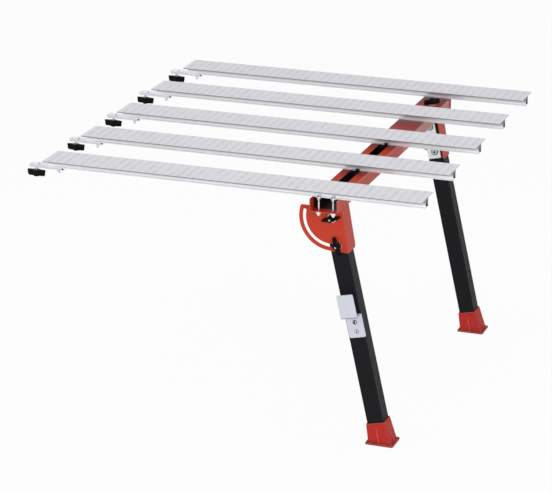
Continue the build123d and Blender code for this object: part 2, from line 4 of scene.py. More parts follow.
import bmesh
import bpy
from bpy.props import FloatProperty, StringProperty
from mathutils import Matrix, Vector

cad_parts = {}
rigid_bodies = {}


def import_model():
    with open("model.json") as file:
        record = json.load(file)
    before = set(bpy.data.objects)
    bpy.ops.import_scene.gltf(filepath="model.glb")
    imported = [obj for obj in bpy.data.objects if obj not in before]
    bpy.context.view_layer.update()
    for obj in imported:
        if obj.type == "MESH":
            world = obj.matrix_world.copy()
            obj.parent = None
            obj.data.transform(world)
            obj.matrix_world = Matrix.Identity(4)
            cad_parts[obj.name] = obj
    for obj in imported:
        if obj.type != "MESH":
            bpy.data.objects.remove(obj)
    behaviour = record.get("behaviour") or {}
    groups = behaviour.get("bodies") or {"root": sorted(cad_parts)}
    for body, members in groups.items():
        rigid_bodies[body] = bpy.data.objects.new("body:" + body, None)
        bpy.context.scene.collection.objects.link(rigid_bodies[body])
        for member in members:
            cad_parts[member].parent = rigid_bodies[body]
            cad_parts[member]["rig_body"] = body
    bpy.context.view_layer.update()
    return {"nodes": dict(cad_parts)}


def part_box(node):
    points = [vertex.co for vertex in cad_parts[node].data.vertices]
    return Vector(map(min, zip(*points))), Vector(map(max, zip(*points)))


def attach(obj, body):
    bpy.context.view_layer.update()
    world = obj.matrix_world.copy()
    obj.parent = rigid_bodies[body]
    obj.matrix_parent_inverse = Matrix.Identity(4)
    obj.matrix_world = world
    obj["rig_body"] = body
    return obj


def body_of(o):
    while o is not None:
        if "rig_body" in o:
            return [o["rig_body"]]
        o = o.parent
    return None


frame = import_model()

bl_info = {
    "name": "Workbench Side Extension",
    "version": (1, 0, 0),
    "blender": (4, 5, 0),
    "location": "3D View > Sidebar > Bench Extension",
    "description": "Finishes and small fittings for a slatted workbench extension with folding legs",
    "category": "Object",
}

NODES = frame["nodes"]
MM = 0.001
SLATS = (1, 2, 3, 4, 5)
ENDS = {"front": -1, "rear": 1}     # the way that each leg's knobs face, along Y
UP = (0, 0, 1)
A, B = 6, 7                         # the two colours of a Mix node


def middle(node):
    low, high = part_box(node)
    return (low + high) / 2


SLAT_LOW, SLAT_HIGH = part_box("bar_3")
SLAT_PITCH = middle("bar_4").y - middle("bar_3").y
RAIL_LOW, RAIL_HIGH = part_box("beam_front")
TUBE_LOW, TUBE_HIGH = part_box("beam_rear")
BEAM_MID = middle("beam_front")

# Sizes of the solids that a box doesn't give.
BOX_WIDE, BOX_WALL = 26 * MM, 2.2 * MM      # the slat's hollow rib
FLANGE_THICK = 3 * MM                       # the slat's base flange
MOUTH = 30 * MM                     # the rail's top wall is cut back this far at its front end
BEAM_WALL = 2.5 * MM
BEAM_CORNER = 2.5 * MM
LEAN = math.radians(12.6)           # of an open leg
BOOT_TALL = 70 * MM                 # along the leg
BOOT_LOW = Vector((36.0, 32.5, 0)) * MM     # half its size at the base plate
BOOT_HIGH = 29.75 * MM                      # and at its top
SHOE_THICK = 5 * MM                 # the foot's base plate
HEAD_TALL = 5 * MM                  # of a pivot or lock bolt
HOOK_HEAD = 6.5 * MM                # radius of a hook screw's head
HOOK_HEAD_TALL = 4 * MM
STUD_IN = 8 * MM                    # from the edge of a sliding nut to the middle of its stud

# Sizes and places of the small pieces.
DARK_THICK = 0.3 * MM               # painted shadow gaps and dark marks
SHALLOW = 0.15 * MM                 # sockets, and the painted shade on washers
LINE_THICK = 0.12 * MM              # drawn lines
MARK_SHARE = 0.38                   # radius of an arm's mark, as a share of the arm's thickness
MARK_IN = 1.2                       # its middle from the end of the arm, in radii
GRIP_HALF = 7.3 * MM                # half the width of a clamp grip at its middle
GRIP_TIP = 2.9 * MM                 # and at the ends of its wings
DOME_FOOT, DOME_SHOULDER, DOME_TOP = 12 * MM, 9.5 * MM, 6 * MM      # radii of the beam knob's dome
WASHER_BORE, WASHER_EDGE = 7.1 * MM, 8.6 * MM       # radii of a stud's washer
WASHER_THICK = 0.5 * MM
SHADED_BORE, SHADED_EDGE = 5.2 * MM, 12.2 * MM          # radii of the painted shade on a leg washer's middle
KNOB_BORE = 5.05 * MM               # radius
SPOT_RADIUS = 2.2 * MM              # dark spots on the tube's side
CATCH_IN = 6 * MM                   # catches from the tube's rear end, and the lower one's height
SPOT_DROP = 2.7 * MM                # upper spots below the tube's top
SLAT_SHADOW_IN = 21 * MM              # from the front edge of slat 4, for the painted shadow spot
WELD_OUT = 29.6 * MM                # beads from a leg's pivot, just outside the bracket's side
BEADS = ((0.10, 0.42), (0.58, 0.90))        # ends of each bead, as shares of the bracket's depth

# Widths in metres of the soft patches and lines in the finishes. They are chosen as so many to the
# metre, and not measured.
SLAT_PATCH = 1 / 14                 # 71 mm
SLAT_WEAR = 1 / 45                  # 22 mm
COAT_CLOUD = 1 / 9                  # 111 mm
HOOK_CLOUD = 1 / 25                 # 40 mm
ZINC_CLOUD = 1 / 60                 # 17 mm
NYLON_CLOUD = 1 / 30                # 33 mm
OXIDE_CLOUD = 1 / 200               # 5 mm
SCRATCH_WIDE, SCRATCH_LONG = 1 / 900, 1 / 60        # 1.1 and 17 mm
DIE_LINE = 1 / 900                  # 1.1 mm
DIE_STRETCH = 300                   # length of a die line, in widths

LAMP_AIM = Vector((0.2, 0.0, 0.45))
EYE_PLACE = (2.6159, -7.2976, 3.1036)
EYE_DOWN, EYE_TURN = 19.245, 19.964     # degrees below level and about Z
EYE_LENS = 165.45                   # focal length in mm


# ---------------------------------------------------------------- settings
class BENCH_PG_finishes(bpy.types.PropertyGroup):
    """Colours, as sRGB hex values."""

    slat: StringProperty(
        name="Slats", description="Satin anodised aluminium", default="#DCDBE0"
    )
    red_coat: StringProperty(
        name="Red steel", description="Powder coat of the beam and brackets", default="#B93923"
    )
    red_tube: StringProperty(
        name="Red tube", description="Glossier coat of the beam's closed section",
        default="#A63A2E"
    )
    # Painted highlight along the edges of the red coat and on the beam's upper corners.
    red_edge: StringProperty(
        name="Red edges", description="Rubbed edges of the red coat", default="#D87464"
    )
    tube_edge: StringProperty(
        name="Red tube edges", description="Shaded edges of the glossier coat", default="#7A2A22"
    )
    black_coat: StringProperty(
        name="Black steel", description="Powder coat of the leg tubes", default="#161519"
    )
    # Painted shade along the edges of the black coat.
    black_edge: StringProperty(
        name="Black edges", description="Edges of the black coat", default="#0C0C0D"
    )
    zinc: StringProperty(
        name="Zinc plate", description="Plated clamp arms, leg plates and bolts", default="#DCDEE4"
    )
    bright_zinc: StringProperty(
        name="Bright zinc", description="Plated pins and washers", default="#F2F4F8"
    )
    # Painted shade along the edges of the pins and washers.
    bright_edge: StringProperty(
        name="Bright zinc edges", description="Edges of the pins and washers", default="#C4C8D0"
    )
    # Painted shade along the edges and in the threads of the plated steel.
    zinc_edge: StringProperty(
        name="Zinc edges", description="Edges and threads of the plated steel", default="#686C74"
    )
    nylon: StringProperty(
        name="Black nylon", description="Moulded wing knobs", default="#0D0D0F"
    )
    nylon_edge: StringProperty(
        name="Black nylon edges", description="Light along the edges of the knobs",
        default="#202024"
    )
    foot: StringProperty(
        name="Red nylon", description="Moulded feet and beam cap", default="#A82B26"
    )
    foot_edge: StringProperty(
        name="Red nylon edges", description="Light along the edges of the feet", default="#E0786A"
    )
    hook: StringProperty(
        name="Hook coat", description="Pale powder coat of the hook", default="#C6C7D2"
    )
    # This colour is also the painted shade inside the hollow slat ribs and inside the beam.
    seam: StringProperty(
        name="Seams", description="Hollows, joints and oxide black screws", default="#16121A"
    )


class BENCH_PG_sizes(bpy.types.PropertyGroup):
    """Sizes of the surface detail and the small fittings."""

    rib_pitch: FloatProperty(
        name="Rib spacing", description="Strong cross ribs of the slat tops",
        default=26.4 * MM, min=1.0 * MM, unit="LENGTH",
    )
    rib_depth: FloatProperty(
        name="Rib depth", description="Depth of the cross ribs",
        default=0.35 * MM, min=0.0, unit="LENGTH",
    )
    coat_grain: FloatProperty(
        name="Coat grain", description="Spacing of the orange peel in the powder coat",
        default=1.6 * MM, min=0.1 * MM, unit="LENGTH",
    )
    die_line: FloatProperty(
        name="Die lines", description="Spacing of the lines along an extrusion, drawn coarse",
        default=DIE_LINE, min=0.05 * MM, unit="LENGTH",
    )
    # Width of the painted edge line: a highlight on the slats and the red coat, shade on the glossy
    # tube, the black tubes and the plating.
    painted_edge_width: FloatProperty(
        name="Edge wear", description="Width of the polished line along coated edges",
        default=0.8 * MM, min=0.05 * MM, unit="LENGTH",
    )
    thread_pitch: FloatProperty(
        name="Thread", description="Thread pitch of the clamp bolts, drawn coarse",
        default=2.5 * MM, min=0.1 * MM, unit="LENGTH",
    )
    clamp_grip: FloatProperty(
        name="Clamp grip", description="Height of the grip over the wings of a clamp knob",
        default=18.9 * MM, min=1.0 * MM, unit="LENGTH",
    )
    foot_rib: FloatProperty(
        name="Foot rib", description="Thickness of the ribs up the sides of a foot",
        default=4.0 * MM, min=0.5 * MM, unit="LENGTH",
    )
    collar: FloatProperty(
        name="Knob collar", description="Radius of the collar round a bolt end",
        default=6.6 * MM, min=1.0 * MM, unit="LENGTH",
    )
    socket: FloatProperty(
        name="Hex socket", description="Radius of the socket in a bolt head",
        default=4.6 * MM, min=1.0 * MM, unit="LENGTH",
    )
    seam_width: FloatProperty(
        name="Seam", description="Width of a joint line round the beam",
        default=1.2 * MM, min=0.1 * MM, unit="LENGTH",
    )
    weld: FloatProperty(
        name="Weld", description="Radius of the weld beads under the beam",
        default=2.2 * MM, min=0.5 * MM, unit="LENGTH",
    )
    floor_reach: FloatProperty(
        name="Floor reach", description="Half the side of the floor",
        default=9.0, min=1.0, unit="LENGTH",
    )


# ---------------------------------------------------------------- node helpers
def linear(hex_value):
    """sRGB hex to the linear colour that the shaders take."""
    parts = [int(hex_value[i:i + 2], 16) / 255 for i in (1, 3, 5)]
    return tuple(c / 12.92 if c <= 0.04045 else ((c + 0.055) / 1.055) ** 2.4 for c in parts) + (1,)


def shade(colour, factor):
    return tuple(min(1.0, c * factor) for c in colour[:3]) + (1,)


def put(tree, kind, inputs=None, out=None, **settings):
    """Adds a node with its settings and links, and gives its output."""
    node = tree.nodes.new(kind)
    for name, value in settings.items():
        setattr(node, name, value)
    for name, value in (inputs or {}).items():
        if isinstance(value, bpy.types.NodeSocket):
            tree.links.new(value, node.inputs[name])
        else:
            node.inputs[name].default_value = value
    if out:
        return node.outputs[out]
    return next((one for one in node.outputs if one.enabled), None)


def new_material(name):
    mat = bpy.data.materials.new(name)
    mat.use_nodes = True
    mat.node_tree.nodes.clear()
    return mat, mat.node_tree


def edge_line(tree, width):
    """1 along edges that are nearer than the width, 0 on flat faces."""
    flat = put(tree, "ShaderNodeNewGeometry", out="Normal")
    soft = put(tree, "ShaderNodeBevel", {"Radius": width}, samples=4)
    match = put(tree, "ShaderNodeVectorMath", {0: flat, 1: soft}, out="Value",
                operation="DOT_PRODUCT")
    return put(tree, "ShaderNodeMapRange", {"Value": match, "From Min": 0.995, "From Max": 0.90})


def inside(tree, *bounds):
    """1 where each value is within its reach of its centre, otherwise 0."""
    mask = 1.0
    for value, centre, reach in bounds:
        close = put(tree, "ShaderNodeMath", {0: value, 1: centre, 2: reach}, operation="COMPARE")
        mask = put(tree, "ShaderNodeMath", {0: close, 1: mask}, operation="MULTIPLY")
    return mask


# ---------------------------------------------------------------- finishes
def anodised_slat(finish, sizes):
    """Aluminium 6063, extruded, cross ribbed by a roller and satin anodised.

    Bright and slightly cool, with soft broad reflections, thin dark lines of painted shade across
    the top, a painted highlight along its edges, and painted shade and light down the sides.
    """
    mat, tree = new_material("anodised_slat")
    place = put(tree, "ShaderNodeTexCoord", out="Object")
    split = put(tree, "ShaderNodeSeparateXYZ", {0: place}).node
    height = split.outputs["Z"]
    across = put(tree, "ShaderNodeMath",
                 {0: split.outputs["Y"], 1: SLAT_PITCH / 2, 2: -SLAT_PITCH / 2}, operation="WRAP")
    colour = linear(finish.slat)
    patches = put(tree, "ShaderNodeTexNoise", {
        "Vector": place, "Scale": 1 / SLAT_PATCH, "Detail": 3.0})
    base = put(tree, "ShaderNodeMix",
               {0: patches, A: shade(colour, 0.95), B: shade(colour, 1.03)}, data_type="RGBA")
    # The ribs are taken as about 3 mm apart, which is finer than shows. They are drawn as the
    # coarser lines that they make together: a strong one and a faint one between. Their darker
    # colour is painted shade of the ribs, and the bump gives their relief.
    lines = []
    for pitch, strength in ((sizes.rib_pitch, 1.0), (sizes.rib_pitch / 2, 0.55)):
        wave = put(tree, "ShaderNodeTexWave", {"Vector": place, "Scale": math.tau / 20 / pitch},
                   wave_type="BANDS", bands_direction="X", wave_profile="SIN")
        thin = put(tree, "ShaderNodeMath", {0: wave, 1: 12.0}, operation="POWER")
        lines.append(put(tree, "ShaderNodeMath", {0: thin, 1: strength}, operation="MULTIPLY"))
    ribs = put(tree, "ShaderNodeMath", {0: lines[0], 1: lines[1]}, operation="MAXIMUM")
    tone_and_painted_edge = put(tree, "ShaderNodeTexNoise", {
        "Vector": place, "Scale": 1 / SLAT_WEAR, "Detail": 2.0})
    uneven = put(tree, "ShaderNodeMapRange", {"Value": tone_and_painted_edge, "From Min": 0.35, "From Max": 0.6,
                                              "To Min": 0.2, "To Max": 1.0})
    ribs = put(tree, "ShaderNodeMath", {0: ribs, 1: uneven}, operation="MULTIPLY")
    ribbed = put(tree, "ShaderNodeMix", {0: ribs, A: base, B: shade(colour, 0.72)},
                 data_type="RGBA")
    # Painted highlight along the edges of the top.
    edge_highlighted = put(tree, "ShaderNodeMix", {0: edge_line(tree, sizes.painted_edge_width), A: ribbed,
                                         B: shade(colour, 1.25)}, data_type="RGBA")
    # Below the top plate the sides go from painted shade under the lip to painted light at the
    # bright base flange.
    rise = put(tree, "ShaderNodeMapRange", {
        "Value": height, "From Min": SLAT_HIGH.z - 12 * MM, "From Max": SLAT_LOW.z + 5 * MM})
    side = put(tree, "ShaderNodeMix", {0: rise, A: shade(colour, 0.42), B: (0.98, 0.99, 1.0, 1)},
               data_type="RGBA")
    # Painted light on the front of the base flange, a step darker than the side above it.
    base_edge = inside(
        tree, (height, SLAT_LOW.z + FLANGE_THICK / 2, FLANGE_THICK / 2 + 0.1 * MM))
    side = put(tree, "ShaderNodeMix", {0: base_edge, A: side, B: shade(colour, 1.15)},
               data_type="RGBA")
    on_top = inside(tree, (height, SLAT_HIGH.z, 0.2 * MM))
    outside = put(tree, "ShaderNodeMix", {0: on_top, A: side, B: edge_highlighted}, data_type="RGBA")
    rib_inside = inside(tree, (across, 0.0, BOX_WIDE / 2 - BOX_WALL + 0.4 * MM),
                        (height, (SLAT_LOW.z + SLAT_HIGH.z) / 2, 13.5 * MM))
    # Painted light falls into the hollow rib at the outer end, more at its top than at its bottom,
    # and deeper in the rib turns to painted shade in the seam colour.
    climb = put(tree, "ShaderNodeMapRange", {
        "Value": height, "From Min": SLAT_LOW.z + 4 * MM, "From Max": SLAT_HIGH.z - 6 * MM})
    rib_end = put(tree, "ShaderNodeMix",
                  {0: climb, A: shade(colour, 0.10), B: shade(colour, 0.75)}, data_type="RGBA")
    deep = put(tree, "ShaderNodeMapRange", {
        "Value": split.outputs["X"], "From Min": SLAT_HIGH.x - 6 * MM,
        "From Max": SLAT_HIGH.x - 60 * MM})
    hollow = put(tree, "ShaderNodeMix", {0: deep, A: rib_end, B: linear(finish.seam)},
                 data_type="RGBA")
    final = put(tree, "ShaderNodeMix", {0: rib_inside, A: outside, B: hollow}, data_type="RGBA")
    # Die lines run along the extrusion. Real ones are finer, so these are drawn coarse, and
    # they show as an uneven shine rather than one by one.
    line = 1 / sizes.die_line
    drawn = put(tree, "ShaderNodeMapping",
                {"Vector": place, "Scale": (line / DIE_STRETCH, line, line)})
    streaks = put(tree, "ShaderNodeTexNoise",
                  {"Vector": drawn, "Scale": 1.0, "Detail": 3.0, "Roughness": 0.6})
    rough = put(tree, "ShaderNodeMapRange", {"Value": streaks, "To Min": 0.42, "To Max": 0.55})
    # The smooth sides shine more than the ribbed top.
    dull = put(tree, "ShaderNodeMapRange", {"Value": on_top, "To Min": 0.5, "To Max": 1.0})
    rough = put(tree, "ShaderNodeMath", {0: rough, 1: dull}, operation="MULTIPLY")
    top_ribs = put(tree, "ShaderNodeMath", {0: ribs, 1: on_top}, operation="MULTIPLY")
    relief = put(tree, "ShaderNodeBump", {"Height": top_ribs, "Distance": sizes.rib_depth,
                                          "Strength": 0.4}, invert=True)
    fine = put(tree, "ShaderNodeBump", {"Height": streaks, "Distance": 0.03 * MM,
                                        "Strength": 0.4, "Normal": relief})
    metal = put(tree, "ShaderNodeMapRange", {"Value": on_top, "To Min": 0.42, "To Max": 0.35})
    surface = put(tree, "ShaderNodeBsdfPrincipled", {
        "Base Color": final, "Metallic": metal, "Roughness": rough, "Normal": fine,
        "Specular IOR Level": 0.3})
    put(tree, "ShaderNodeOutputMaterial", {"Surface": surface})
    return mat


def powder_coat(name, hex_value, edge, finish, sizes, roughness, gloss):
    """Polyester powder coat on steel, sprayed and baked.

    An even colour with a fine orange peel, and a painted line along each edge: a painted highlight
    where the edge colour is lighter, painted shade where it is darker.
    """
    mat, tree = new_material(name)
    place = put(tree, "ShaderNodeTexCoord", out="Object")
    split = put(tree, "ShaderNodeSeparateXYZ", {0: place}).node
    colour = linear(hex_value)
    cloud = put(tree, "ShaderNodeTexNoise", {
        "Vector": place, "Scale": 1 / COAT_CLOUD, "Detail": 4.0})
    base = put(tree, "ShaderNodeMix",
               {0: cloud, A: shade(colour, 0.94), B: shade(colour, 1.06)}, data_type="RGBA")
    # The edge colour is painted along each edge: light on the red rail and brackets, shade on the
    # glossy tube and the black tubes.
    tone_and_painted_edge = put(tree, "ShaderNodeMix", {0: edge_line(tree, sizes.painted_edge_width), A: base,
                                       B: linear(edge)}, data_type="RGBA")
    # The upper corners of the beam take the same painted edge line.
    off_middle = put(tree, "ShaderNodeMath", {0: split.outputs["X"], 1: BEAM_MID.x},
                     operation="SUBTRACT")
    off_middle = put(tree, "ShaderNodeMath", {0: off_middle}, operation="ABSOLUTE")
    reach = BEAM_CORNER - 0.1 * MM
    corner = inside(tree, (off_middle, (RAIL_HIGH.x - RAIL_LOW.x) / 2, reach),
                    (split.outputs["Z"], RAIL_HIGH.z, reach))
    tone_and_painted_edge = put(tree, "ShaderNodeMix", {0: corner, A: tone_and_painted_edge, B: linear(edge)}, data_type="RGBA")
    # Behind its open mouth the inside of the beam goes dark: painted shade in the seam colour.
    mouth = RAIL_LOW.y + MOUTH
    deep = put(tree, "ShaderNodeMapRange", {
        "Value": split.outputs["Y"], "From Min": mouth - 6 * MM, "From Max": mouth + 8 * MM})
    wall = BEAM_WALL - 0.2 * MM
    hollow = inside(
        tree, (split.outputs["X"], BEAM_MID.x, (RAIL_HIGH.x - RAIL_LOW.x) / 2 - wall),
        (split.outputs["Z"], BEAM_MID.z, (RAIL_HIGH.z - RAIL_LOW.z) / 2 - wall))
    hollow = put(tree, "ShaderNodeMath", {0: hollow, 1: deep}, operation="MULTIPLY")
    final = put(tree, "ShaderNodeMix", {0: hollow, A: tone_and_painted_edge, B: linear(finish.seam)},
                data_type="RGBA")
    peel = put(tree, "ShaderNodeTexNoise", {
        "Vector": place, "Scale": 1 / sizes.coat_grain, "Detail": 2.0, "Roughness": 0.4})
    rough = put(tree, "ShaderNodeMapRange", {
        "Value": cloud, "To Min": roughness - 0.05, "To Max": roughness + 0.06})
    relief = put(tree, "ShaderNodeBump", {"Height": peel, "Distance": 0.05 * MM, "Strength": 0.5})
    surface = put(tree, "ShaderNodeBsdfPrincipled", {
        "Base Color": final, "Metallic": 0.0, "IOR": 1.5, "Specular IOR Level": gloss,
        "Roughness": rough, "Normal": relief})
    put(tree, "ShaderNodeOutputMaterial", {"Surface": surface})
    return mat


def hook_coat(finish, sizes):
    """Pale grey powder coat on the bent hook.

    Lighter than the plating beside it and without its shine, with painted shade where a bend turns
    down.
    """
    mat, tree = new_material("hook_powder_coat")
    coords = put(tree, "ShaderNodeTexCoord").node
    place = coords.outputs["Object"]
    colour = linear(finish.hook)
    cloud = put(tree, "ShaderNodeTexNoise", {
        "Vector": place, "Scale": 1 / HOOK_CLOUD, "Detail": 4.0})
    base = put(tree, "ShaderNodeMix",
               {0: cloud, A: shade(colour, 0.95), B: shade(colour, 1.05)}, data_type="RGBA")
    turned_down = put(tree, "ShaderNodeSeparateXYZ", {0: coords.outputs["Normal"]}, out="Z")
    # Faces that turn down take painted shade.
    under = put(tree, "ShaderNodeMapRange",
                {"Value": turned_down, "From Min": -0.15, "From Max": -0.6})
    final = put(tree, "ShaderNodeMix", {0: under, A: base, B: shade(colour, 0.25)},
                data_type="RGBA")
    peel = put(tree, "ShaderNodeTexNoise", {"Vector": place, "Scale": 1 / sizes.coat_grain})
    rough = put(tree, "ShaderNodeMapRange", {"Value": cloud, "To Min": 0.36, "To Max": 0.46})
    relief = put(tree, "ShaderNodeBump", {"Height": peel, "Distance": 0.05 * MM, "Strength": 0.5})
    surface = put(tree, "ShaderNodeBsdfPrincipled", {
        "Base Color": final, "Metallic": 0.0, "IOR": 1.5, "Specular IOR Level": 0.25,
        "Roughness": rough, "Normal": relief})
    put(tree, "ShaderNodeOutputMaterial", {"Surface": surface})
    return mat


def zinc_plate(name, hex_value, edge, sizes, threaded=False):
    """Mild steel, bright zinc plated: faint blue-white clouds, fine scratches, painted shade along
    the edges.
    """
    mat, tree = new_material(name)
    place = put(tree, "ShaderNodeTexCoord", out="Object")
    colour = linear(hex_value)
    dark = linear(edge)
    cloud = put(tree, "ShaderNodeTexNoise", {
        "Vector": place, "Scale": 1 / ZINC_CLOUD, "Detail": 4.0})
    base = put(tree, "ShaderNodeMix",
               {0: cloud, A: shade(colour, 0.84), B: shade(colour, 1.06)}, data_type="RGBA")
    if threaded:
        # A thread of 1.25 mm pitch, drawn at the coarser pitch of the settings so that it shows, as
        # dark bands of painted shade in its grooves. It lies on the shank, below the T-shaped head.
        height = put(tree, "ShaderNodeSeparateXYZ", {0: place}, out="Z")
        wave = put(tree, "ShaderNodeTexWave",
                   {"Vector": place, "Scale": math.tau / 20 / sizes.thread_pitch},
                   wave_type="BANDS", bands_direction="Z", wave_profile="SIN")
        shank = put(tree, "ShaderNodeMath", {0: height, 1: SLAT_LOW.z}, operation="LESS_THAN")
        thread = put(tree, "ShaderNodeMath", {0: wave, 1: shank}, operation="MULTIPLY")
        base = put(tree, "ShaderNodeMix", {0: thread, A: base, B: dark}, data_type="RGBA")
    # Painted shade along the edges.
    edge_shade = edge_line(tree, 1.6 * sizes.painted_edge_width)
    final = put(tree, "ShaderNodeMix", {0: edge_shade, A: base, B: dark}, data_type="RGBA")
    # Scratches lie level. Real ones are finer, and these are as coarse as they need to be to show.
    scratch = put(tree, "ShaderNodeMapping", {
        "Vector": place, "Scale": (1 / SCRATCH_LONG, 1 / SCRATCH_LONG, 1 / SCRATCH_WIDE)})
    fine = put(tree, "ShaderNodeTexNoise", {"Vector": scratch, "Scale": 1.0, "Detail": 3.0})
    rough = put(tree, "ShaderNodeMapRange", {"Value": fine, "To Min": 0.22, "To Max": 0.38})
    relief = put(tree, "ShaderNodeBump", {"Height": fine, "Distance": 0.02 * MM, "Strength": 0.3})
    surface = put(tree, "ShaderNodeBsdfPrincipled", {
        "Base Color": final, "Metallic": 1.0, "Roughness": rough, "Normal": relief})
    put(tree, "ShaderNodeOutputMaterial", {"Surface": surface})
    return mat


def moulded_nylon(name, hex_value, edge, edge_mm, roughness, gloss, spark_mm):
    """Glass-filled nylon, injection moulded in a spark-eroded tool.

    A fine matt grain under a slight shine, crisp painted light along the moulded edges, painted
    shade in the creases.
    """
    mat, tree = new_material(name)
    place = put(tree, "ShaderNodeTexCoord", out="Object")
    colour = linear(hex_value)
    cloud = put(tree, "ShaderNodeTexNoise", {
        "Vector": place, "Scale": 1 / NYLON_CLOUD, "Detail": 3.0})
    base = put(tree, "ShaderNodeMix",
               {0: cloud, A: shade(colour, 0.92), B: shade(colour, 1.3)}, data_type="RGBA")
    # Painted shade in the creases, from the ambient occlusion.
    open_air = put(tree, "ShaderNodeAmbientOcclusion", {"Distance": 18 * MM}, out="AO", samples=8)
    crease = put(tree, "ShaderNodeMapRange",
                 {"Value": open_air, "From Min": 0.85, "From Max": 0.50, "To Max": 0.9})
    crease_shaded = put(tree, "ShaderNodeMix", {0: crease, A: base, B: shade(colour, 0.3)},
                data_type="RGBA")
    final = put(tree, "ShaderNodeMix", {0: edge_line(tree, edge_mm * MM), A: crease_shaded,
                                        B: linear(edge)}, data_type="RGBA")
    grain = put(tree, "ShaderNodeTexNoise",
                {"Vector": place, "Scale": 1 / (spark_mm * MM), "Detail": 2.0})
    rough = put(tree, "ShaderNodeMapRange", {
        "Value": grain, "To Min": roughness - 0.05, "To Max": roughness + 0.08})
    relief = put(tree, "ShaderNodeBump", {"Height": grain, "Distance": 0.04 * MM, "Strength": 0.5})
    surface = put(tree, "ShaderNodeBsdfPrincipled", {
        "Base Color": final, "Metallic": 0.0, "IOR": 1.53, "Specular IOR Level": gloss,
        "Roughness": rough, "Normal": relief})
    put(tree, "ShaderNodeOutputMaterial", {"Surface": surface})
    return mat


def black_oxide_and_shade(finish):
    """Black oxide on steel: near black and dull, with a brownish cast in patches."""
    # The same near black also serves as painted shade: the gaps round bolt heads and hook screws,
    # the sockets, the washer middles, the weld beads and a spot at slat 4.
    mat, tree = new_material("black_oxide_and_shade")
    place = put(tree, "ShaderNodeTexCoord", out="Object")
    colour = linear(finish.seam)
    cloud = put(tree, "ShaderNodeTexNoise", {
        "Vector": place, "Scale": 1 / OXIDE_CLOUD, "Detail": 2.0})
    base = put(tree, "ShaderNodeMix",
               {0: cloud, A: shade(colour, 0.8), B: shade(colour, 1.3)}, data_type="RGBA")
    surface = put(tree, "ShaderNodeBsdfPrincipled", {
        "Base Color": base, "Metallic": 0.0, "IOR": 1.5, "Specular IOR Level": 0.1,
        "Roughness": 0.55})
    put(tree, "ShaderNodeOutputMaterial", {"Surface": surface})
    return mat


def finish_named(name):
    """The material of that name, made the first time it is asked for."""
    made = bpy.data.materials.get(name)
    if made:
        return made
    finish = bpy.context.scene.bench_finishes
    sizes = bpy.context.scene.bench_sizes
    makers = {
        "anodised_slat": lambda: anodised_slat(finish, sizes),
        "red_powder_coat": lambda: powder_coat(
            name, finish.red_coat, finish.red_edge, finish, sizes,
            roughness=0.42, gloss=0.18),
        "red_gloss_coat": lambda: powder_coat(
            name, finish.red_tube, finish.tube_edge, finish, sizes,
            roughness=0.30, gloss=0.5),
        "black_powder_coat": lambda: powder_coat(
            name, finish.black_coat, finish.black_edge, finish, sizes,
            roughness=0.50, gloss=0.09),
        "hook_powder_coat": lambda: hook_coat(finish, sizes),
        "zinc_plate": lambda: zinc_plate(name, finish.zinc, finish.zinc_edge, sizes),
        "bright_zinc": lambda: zinc_plate(
            name, finish.bright_zinc, finish.bright_edge, sizes),
        "threaded_zinc": lambda: zinc_plate(
            name, finish.bright_zinc, finish.zinc_edge, sizes, threaded=True),
        "black_nylon": lambda: moulded_nylon(
            name, finish.nylon, finish.nylon_edge,
            edge_mm=1.0, roughness=0.36, gloss=0.05, spark_mm=0.9),
        "red_nylon": lambda: moulded_nylon(
            name, finish.foot, finish.foot_edge,
            edge_mm=1.9, roughness=0.48, gloss=0.10, spark_mm=1.1),
        "black_oxide_and_shade": lambda: black_oxide_and_shade(finish),
    }
    return makers[name]()


def dress(node, material):
    """Gives a CAD node its finish."""
    if node not in NODES:
        raise RuntimeError("the frame has no node " + node)
    slots = NODES[node].material_slots
    if not slots:
        raise RuntimeError(node + " has no material slot")
    for one in slots:
        one.material = finish_named(material)


def add_piece(name, shape, beside, finish):
    """Makes a piece of the shape, which rides on the body of the CAD node beside it."""
    bmesh.ops.recalc_face_normals(shape, faces=shape.faces)
    mesh = bpy.data.meshes.new(name)
    shape.to_mesh(mesh)
    shape.free()
    mesh.materials.append(finish_named(finish))
    piece = bpy.data.objects.new(name, mesh)
    bpy.context.scene.collection.objects.link(piece)
    bodies = body_of(NODES[beside])
    if not bodies:
        raise RuntimeError(beside + " rides on no body")
    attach(piece, bodies[0])
    return piece


def turned(outline, spot, facing, sides=32):
    """A shape turned about an axis, from its closed outline of (radius, height) points."""
    shape = bmesh.new()
    swing = Vector(UP).rotation_difference(Vector(facing))
    rows = []
    for i in range(sides):
        angle = math.tau * i / sides
        out = Vector((math.cos(angle), math.sin(angle), 0))
        rows.append([shape.verts.new(spot + swing @ (out * r + Vector(UP) * h))
                     for r, h in outline])
    for row, after in zip(rows, rows[1:] + rows[:1]):
        for k in range(len(outline)):
            shape.faces.new((row[k - 1], after[k - 1], after[k], row[k]))
    bmesh.ops.remove_doubles(shape, verts=shape.verts, dist=0.001 * MM)
    return shape


def collar(spot, facing, bore, radius):
    """Moulded collar on the outer face of a knob, drawn in over the end of its bolt."""
    gap, lip, top, slope = 1.7 * MM, bore * 0.62, 2.4 * MM, 0.8 * MM
    outline = ((bore, 0), (radius, 0), (radius, top - slope), (radius - slope, top),
               (lip, top), (lip, gap), (bore, gap))
    return turned(outline, spot, facing)


def ring(spot, facing, inner, outer, thick):
    return turned(((inner, 0), (outer, 0), (outer, thick), (inner, thick)), spot, facing)


def plug(spot, facing, radius, thick, sides):
    return turned(((0, 0), (radius, 0), (radius, thick), (0, thick)), spot, facing, sides)


